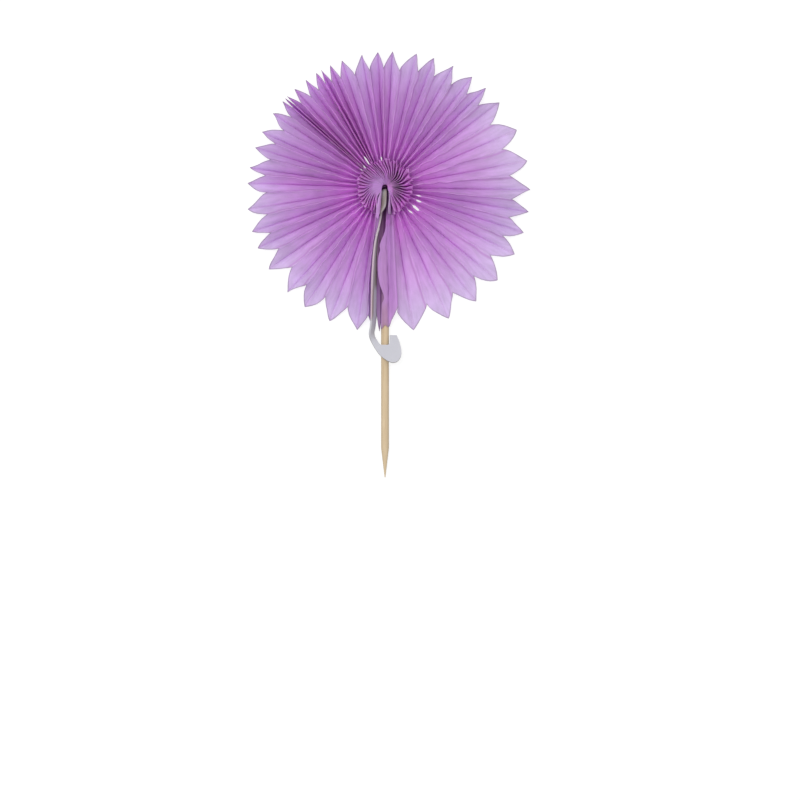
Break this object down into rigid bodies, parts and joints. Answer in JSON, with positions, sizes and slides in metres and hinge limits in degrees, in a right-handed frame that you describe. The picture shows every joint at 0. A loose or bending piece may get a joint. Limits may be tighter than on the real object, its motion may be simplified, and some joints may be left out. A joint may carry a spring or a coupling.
{
  "type": "paper fan pick",
  "caption": "Round pleated tissue paper fan, glued honeycomb style at its hub, on a pointed wooden stick and held open by a hooked card clasp.",
  "frame": {"origin": "under the middle of the whole pick's box, on the surface that the pick lies on", "axes": "+Z out of the fan's front, -Y from the hub along the stick to its point, +X to the right as the fan's front is seen with the stick down"},
  "size_m": [0.1012, 0.1524, 0.0112],
  "materials": {
    "tissue": "matt thin tissue paper, see-through where one layer stands alone",
    "bamboo": "plain sanded bamboo",
    "card": "matt white card with a bare cut edge"
  },
  "bodies": {
    "root": {"tissue_fan": "tissue", "wooden_stick": "bamboo", "card_clasp": "card"}
  },
  "joints": []
}
